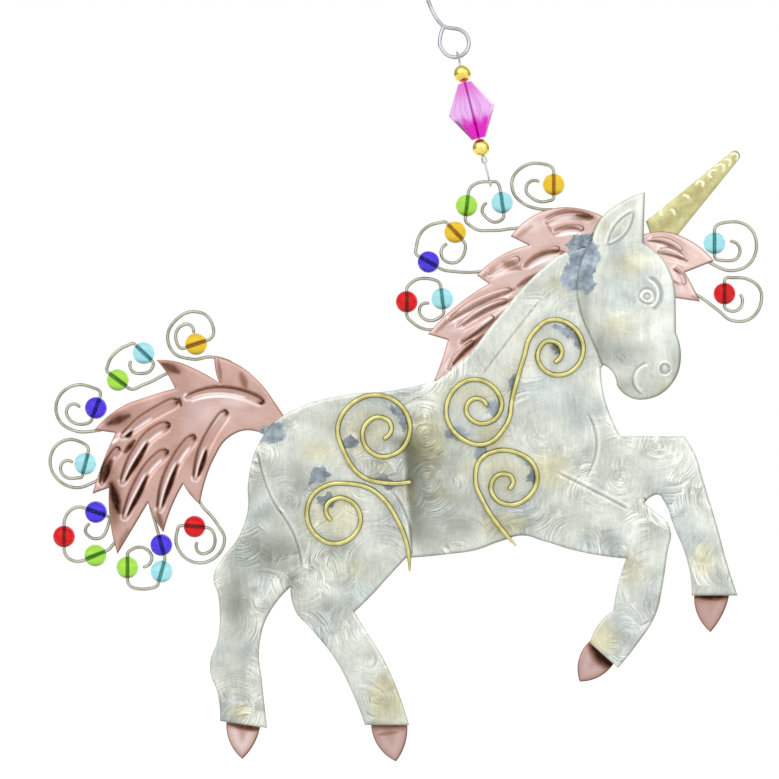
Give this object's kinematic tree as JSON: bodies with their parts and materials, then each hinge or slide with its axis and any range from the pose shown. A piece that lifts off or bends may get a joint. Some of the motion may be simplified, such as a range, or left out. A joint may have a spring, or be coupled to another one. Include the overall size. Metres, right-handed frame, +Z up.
{
  "type": "unicorn figurine",
  "caption": "Flat hanging unicorn ornament of cut sheet metal with soldered wire scrolls and curls, threaded glass beads and a beaded link on a wire hook.",
  "frame": {"origin": "inner top of the hook's crook, where the ornament hangs", "axes": "+Z up along the hanging line, +X towards the unicorn's head, +Y away from the viewer through the sheet"},
  "size_m": [0.1291, 0.008, 0.1513],
  "materials": {
    "nickel_silver": "swirl-brushed",
    "copper": "brushed, lightly flame-toned",
    "horn_brass": "brushed",
    "scroll_brass": "drawn wire",
    "curl_wire": "drawn wire",
    "steel_wire": "drawn wire",
    "gold_plate": "polished",
    "pink_crystal": "polished facets",
    "red_glass": "polished",
    "blue_glass": "polished",
    "aqua_glass": "polished",
    "green_glass": "polished",
    "amber_glass": "polished"
  },
  "bodies": {
    "hanger": {"hanger_hook": "steel_wire"},
    "link": {"link_wire": "steel_wire", "crimp_tube": "steel_wire"},
    "figure": {"body_plate": "nickel_silver", "forelock": "copper", "forelock_curl_1": "curl_wire", "forelock_curl_2": "curl_wire", "head_plate": "nickel_silver", "hoof_far_fore": "copper", "hoof_far_hind": "copper", "hoof_near_fore": "copper", "hoof_near_hind": "copper", "horn": "horn_brass", "mane": "copper", "mane_curl_1": "curl_wire", "mane_curl_2": "curl_wire", "mane_curl_3": "curl_wire", "mane_curl_4": "curl_wire", "scroll_belly": "scroll_brass", "scroll_rump_lower": "scroll_brass", "scroll_rump_upper": "scroll_brass", "scroll_shoulder": "scroll_brass", "tail": "copper", "tail_curl_1": "curl_wire", "tail_curl_2": "curl_wire", "tail_curl_3": "curl_wire", "tail_curl_4": "curl_wire", "tail_curl_5": "curl_wire", "tail_curl_6": "curl_wire", "tail_curl_7": "curl_wire"},
    "bicone": {"bicone_bead": "pink_crystal"},
    "gold_upper": {"gold_bead_upper": "gold_plate"},
    "gold_lower": {"gold_bead_lower": "gold_plate"},
    "forelock_1_aqua": {"bead_forelock_1_aqua": "aqua_glass"},
    "forelock_2_red": {"bead_forelock_2_red": "red_glass"},
    "mane_1_amber": {"bead_mane_1_amber": "amber_glass"},
    "mane_2_aqua": {"bead_mane_2_aqua": "aqua_glass"},
    "mane_2_green": {"bead_mane_2_green": "green_glass"},
    "mane_3_amber": {"bead_mane_3_amber": "amber_glass"},
    "mane_3_blue": {"bead_mane_3_blue": "blue_glass"},
    "mane_4_aqua": {"bead_mane_4_aqua": "aqua_glass"},
    "mane_4_red": {"bead_mane_4_red": "red_glass"},
    "tail_1_amber": {"bead_tail_1_amber": "amber_glass"},
    "tail_2_aqua": {"bead_tail_2_aqua": "aqua_glass"},
    "tail_2_green": {"bead_tail_2_green": "green_glass"},
    "tail_3_blue": {"bead_tail_3_blue": "blue_glass"},
    "tail_4_aqua": {"bead_tail_4_aqua": "aqua_glass"},
    "tail_5_blue": {"bead_tail_5_blue": "blue_glass"},
    "tail_5_green": {"bead_tail_5_green": "green_glass"},
    "tail_5_red": {"bead_tail_5_red": "red_glass"},
    "tail_6_aqua": {"bead_tail_6_aqua": "aqua_glass"},
    "tail_6_blue": {"bead_tail_6_blue": "blue_glass"},
    "tail_6_green": {"bead_tail_6_green": "green_glass"},
    "tail_7_red": {"bead_tail_7_red": "red_glass"}
  },
  "joints": [
    {"name": "link_sway", "type": "hinge", "parent": "hanger", "child": "link", "pos_m": [0, 0, -0.02088], "axis": [0, 1, 0], "range_deg": [-60, 60]},
    {"name": "figure_swing", "type": "hinge", "parent": "link", "child": "figure", "pos_m": [0.0063, 0, -0.0459], "axis": [1, 0, 0], "range_deg": [-75, 75]},
    {"name": "bicone_spin", "type": "hinge", "parent": "link", "child": "bicone", "pos_m": [0, 0, -0.02088], "axis": [0.2442, 0, -0.9697], "continuous": true},
    {"name": "gold_upper_spin", "type": "hinge", "parent": "link", "child": "gold_upper", "pos_m": [0, 0, -0.02088], "axis": [0.2442, 0, -0.9697], "continuous": true},
    {"name": "gold_lower_spin", "type": "hinge", "parent": "link", "child": "gold_lower", "pos_m": [0, 0, -0.02088], "axis": [0.2442, 0, -0.9697], "continuous": true},
    {"name": "tail_1_amber_spin", "type": "hinge", "parent": "figure", "child": "tail_1_amber", "pos_m": [-0.04671, 0, -0.07524], "axis": [-0.9455, 0, -0.3256], "continuous": true},
    {"name": "tail_2_green_spin", "type": "hinge", "parent": "figure", "child": "tail_2_green", "pos_m": [-0.06084, 0, -0.08172], "axis": [-0.788, 0, 0.6157], "continuous": true},
    {"name": "tail_2_aqua_spin", "type": "hinge", "parent": "figure", "child": "tail_2_aqua", "pos_m": [-0.05616, 0, -0.07686], "axis": [0.7071, 0, -0.7071], "continuous": true},
    {"name": "tail_3_blue_spin", "type": "hinge", "parent": "figure", "child": "tail_3_blue", "pos_m": [-0.0648, 0, -0.08676], "axis": [-0.342, 0, -0.9397], "continuous": true},
    {"name": "tail_4_aqua_spin", "type": "hinge", "parent": "figure", "child": "tail_4_aqua", "pos_m": [-0.06671, 0, -0.09684], "axis": [-0.2419, 0, -0.9703], "continuous": true},
    {"name": "tail_5_green_spin", "type": "hinge", "parent": "figure", "child": "tail_5_green", "pos_m": [-0.06489, 0, -0.1134], "axis": [-0.9205, 0, -0.3907], "continuous": true},
    {"name": "tail_5_red_spin", "type": "hinge", "parent": "figure", "child": "tail_5_red", "pos_m": [-0.07056, 0, -0.10998], "axis": [0, 0, 1], "continuous": true},
    {"name": "tail_5_blue_spin", "type": "hinge", "parent": "figure", "child": "tail_5_blue", "pos_m": [-0.0648, 0, -0.10557], "axis": [0.9397, 0, -0.342], "continuous": true},
    {"name": "tail_6_blue_spin", "type": "hinge", "parent": "figure", "child": "tail_6_blue", "pos_m": [-0.05299, 0, -0.11151], "axis": [0.2588, 0, -0.9659], "continuous": true},
    {"name": "tail_6_aqua_spin", "type": "hinge", "parent": "figure", "child": "tail_6_aqua", "pos_m": [-0.05294, 0, -0.11628], "axis": [-0.2588, 0, -0.9659], "continuous": true},
    {"name": "tail_6_green_spin", "type": "hinge", "parent": "figure", "child": "tail_6_green", "pos_m": [-0.05911, 0, -0.11556], "axis": [0, 0, 1], "continuous": true},
    {"name": "tail_7_red_spin", "type": "hinge", "parent": "figure", "child": "tail_7_red", "pos_m": [-0.04698, 0, -0.10818], "axis": [0.9962, 0, -0.0872], "continuous": true},
    {"name": "mane_1_amber_spin", "type": "hinge", "parent": "figure", "child": "mane_1_amber", "pos_m": [0.01787, 0, -0.04644], "axis": [0, 0, -1], "continuous": true},
    {"name": "mane_2_green_spin", "type": "hinge", "parent": "figure", "child": "mane_2_green", "pos_m": [0.00216, 0, -0.05022], "axis": [0.1219, 0, 0.9925], "continuous": true},
    {"name": "mane_2_aqua_spin", "type": "hinge", "parent": "figure", "child": "mane_2_aqua", "pos_m": [0.00855, 0, -0.04968], "axis": [0.1392, 0, -0.9903], "continuous": true},
    {"name": "mane_3_blue_spin", "type": "hinge", "parent": "figure", "child": "mane_3_blue", "pos_m": [-0.00473, 0, -0.06039], "axis": [-0.866, 0, 0.5], "continuous": true},
    {"name": "mane_3_amber_spin", "type": "hinge", "parent": "figure", "child": "mane_3_amber", "pos_m": [0.00009, 0, -0.05503], "axis": [0.6691, 0, -0.7431], "continuous": true},
    {"name": "mane_4_red_spin", "type": "hinge", "parent": "figure", "child": "mane_4_red", "pos_m": [-0.00868, 0, -0.06759], "axis": [0, 0, 1], "continuous": true},
    {"name": "mane_4_aqua_spin", "type": "hinge", "parent": "figure", "child": "mane_4_aqua", "pos_m": [-0.00225, 0, -0.06705], "axis": [0.1219, 0, -0.9925], "continuous": true},
    {"name": "forelock_1_aqua_spin", "type": "hinge", "parent": "figure", "child": "forelock_1_aqua", "pos_m": [0.0468, -0.0008, -0.05706], "axis": [0, 0, -1], "continuous": true},
    {"name": "forelock_2_red_spin", "type": "hinge", "parent": "figure", "child": "forelock_2_red", "pos_m": [0.0486, -0.0008, -0.06615], "axis": [0, 0, -1], "continuous": true}
  ]
}
